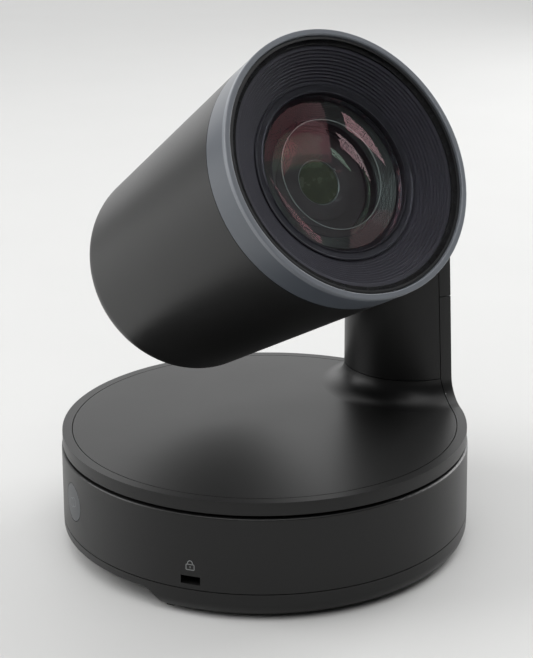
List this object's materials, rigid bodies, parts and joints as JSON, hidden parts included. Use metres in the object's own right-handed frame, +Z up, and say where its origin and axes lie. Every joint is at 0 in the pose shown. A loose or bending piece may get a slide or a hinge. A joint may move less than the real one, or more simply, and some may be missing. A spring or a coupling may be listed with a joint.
{
  "type": "ptz camera",
  "caption": "Motorised pan and tilt conference camera: a tapered cylindrical head on a one-sided arm over a round turning base, with gear drives, bearings and a zoom lens inside.",
  "frame": {"origin": "centre of the tripod thread's mouth in the underside, on the pan axis, level with the feet", "axes": "+Z up along the pan axis, -Y the way the lens looks at rest, +X the side with the arm"},
  "size_m": [0.152, 0.1576, 0.1909],
  "materials": {
    "shell": "moulded, fine matt texture",
    "drum_shell": "moulded, satin",
    "band": "blue grey satin paint",
    "lip": "light grey satin paint",
    "black_plastic": "moulded, matt",
    "baffle": "ridged, matt",
    "glass": "coated, polished",
    "rubber": "moulded",
    "steel": "pressed",
    "bright_steel": "ground and polished",
    "brass": "turned",
    "aluminium": "machined",
    "black_aluminium": "black anodised",
    "gear_plastic": "moulded acetal",
    "circuit_board": "solder mask",
    "button": "moulded, satin",
    "sensor": "cover glass"
  },
  "bodies": {
    "base": {"bottom_shell": "drum_shell", "rubber_feet": "rubber", "tripod_insert": "brass", "drum_wall": "drum_shell", "slot_plate": "steel", "base_frame": "steel", "frame_screws": "steel", "base_screws": "steel", "pan_bearing_outer_race": "bright_steel", "pan_bearing_balls": "bright_steel", "pan_motor": "steel", "main_board": "circuit_board", "usb_socket": "steel", "video_socket": "steel", "power_jack": "black_plastic", "pairing_switch": "black_plastic", "button_board": "circuit_board"},
    "pairing_button": {"pairing_button": "button"},
    "pan_pinion": {"pan_pinion": "brass"},
    "turret": {"turret_shell": "shell", "arm_outer_cap": "shell", "turret_cover": "shell", "arm_inner_cover": "shell", "turret_plate": "steel", "turret_screws": "steel", "pan_spindle": "aluminium", "spindle_clip": "steel", "pan_bearing_inner_race": "bright_steel", "pan_gear": "gear_plastic", "arm_bracket": "steel", "tilt_bushes": "brass", "tilt_motor": "steel"},
    "tilt_pinion": {"tilt_pinion": "brass"},
    "head": {"tilt_gear": "gear_plastic", "tilt_hub": "aluminium", "head_shell": "shell", "front_band": "band", "front_lip": "lip", "front_window": "glass", "window_gasket": "black_plastic", "lens_baffle": "baffle", "front_retainer": "black_plastic", "front_element": "glass", "fixed_lens_cell": "black_plastic", "inner_element": "glass", "lens_barrel": "black_aluminium", "guide_rods": "bright_steel", "magnet_rail": "steel", "iris_unit": "black_plastic", "sensor_mount": "black_aluminium", "sensor_board": "circuit_board", "image_sensor": "sensor", "head_chassis": "black_aluminium", "processor_board": "circuit_board", "heat_sink": "aluminium"},
    "zoom_group": {"zoom_carrier": "black_plastic", "zoom_lens": "glass", "zoom_coil": "brass"},
    "focus_group": {"focus_carrier": "black_plastic", "focus_lens": "glass"}
  },
  "joints": [
    {"name": "pan", "type": "hinge", "parent": "base", "child": "turret", "pos_m": [0, 0, 0.0388], "axis": [0, 0, 1], "range_deg": [-10, 170]},
    {"name": "tilt", "type": "hinge", "parent": "turret", "child": "head", "pos_m": [-0.00645, 0, 0.11765], "axis": [-1, 0, 0], "range_deg": [-55, 60]},
    {"name": "pan_pinion_spin", "type": "hinge", "parent": "base", "child": "pan_pinion", "pos_m": [0.03326, 0.0192, 0.035], "axis": [0, 0, 1], "range_deg": [-860, 60]},
    {"name": "tilt_pinion_spin", "type": "hinge", "parent": "turret", "child": "tilt_pinion", "pos_m": [0.0635, 0, 0.09605], "axis": [-1, 0, 0], "range_deg": [-175, 160]},
    {"name": "pairing_button_press", "type": "slide", "parent": "base", "child": "pairing_button", "axis": [0.9854, -0.1702, 0], "range_m": [0, 0.0008], "stiffness_N_per_m": 600, "springref_m": -0.0006},
    {"name": "zoom", "type": "slide", "parent": "head", "child": "zoom_group", "axis": [0, -0.8678, 0.497], "range_m": [-0.012, 0.006]},
    {"name": "focus", "type": "slide", "parent": "head", "child": "focus_group", "axis": [0, -0.8678, 0.497], "range_m": [-0.004, 0.004]}
  ],
  "couplings": [
    {"joint": "pan_pinion_spin", "follows": "pan", "ratio": -5},
    {"joint": "tilt_pinion_spin", "follows": "tilt", "ratio": -2.8571}
  ]
}
